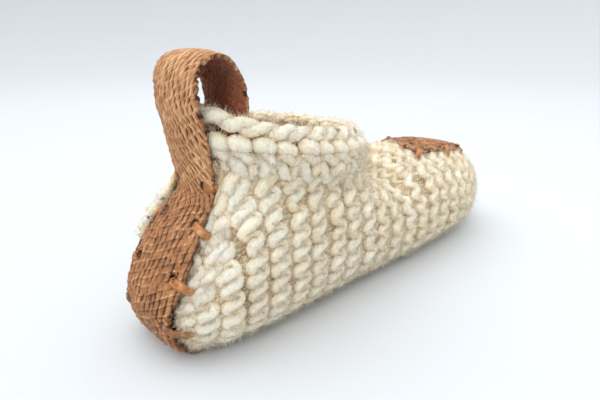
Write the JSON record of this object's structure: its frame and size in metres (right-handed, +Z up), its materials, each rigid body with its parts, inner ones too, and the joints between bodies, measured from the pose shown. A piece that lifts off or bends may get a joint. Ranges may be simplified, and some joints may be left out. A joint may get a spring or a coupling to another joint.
{
  "type": "wool slipper",
  "caption": "Hand-knitted garter-stitch wool ankle slipper with a fish-leather heel strip that forms a pull loop, and a leather toe patch lashed on with thongs.",
  "frame": {"origin": "on the floor, under the middle of the slipper's bounding box", "axes": "+X from heel to toe, +Y to the wearer's left, +Z up"},
  "size_m": [0.2646, 0.0836, 0.1278],
  "materials": {
    "wool": "thick handspun cream wool, soft and matt",
    "fish_leather": "tan-brown tanned fish skin with open scale pockets, dull",
    "thong_leather": "smooth orange-brown leather lace, slight sheen"
  },
  "bodies": {
    "root": {"knit_body": "wool", "heel_strip": "fish_leather", "toe_patch": "fish_leather", "heel_thong_ankle_right": "thong_leather", "heel_thong_upper_right": "thong_leather", "heel_thong_lower_right": "thong_leather", "heel_thong_floor_right": "thong_leather", "toe_thong_rear_right": "thong_leather", "toe_thong_corner_right": "thong_leather", "toe_thong_side_right": "thong_leather", "toe_thong_front_right": "thong_leather", "toe_thong_tip_right": "thong_leather", "heel_thong_ankle_left": "thong_leather", "heel_thong_upper_left": "thong_leather", "heel_thong_lower_left": "thong_leather", "heel_thong_floor_left": "thong_leather", "toe_thong_rear_left": "thong_leather", "toe_thong_corner_left": "thong_leather", "toe_thong_side_left": "thong_leather", "toe_thong_front_left": "thong_leather", "toe_thong_tip_left": "thong_leather"}
  },
  "joints": []
}
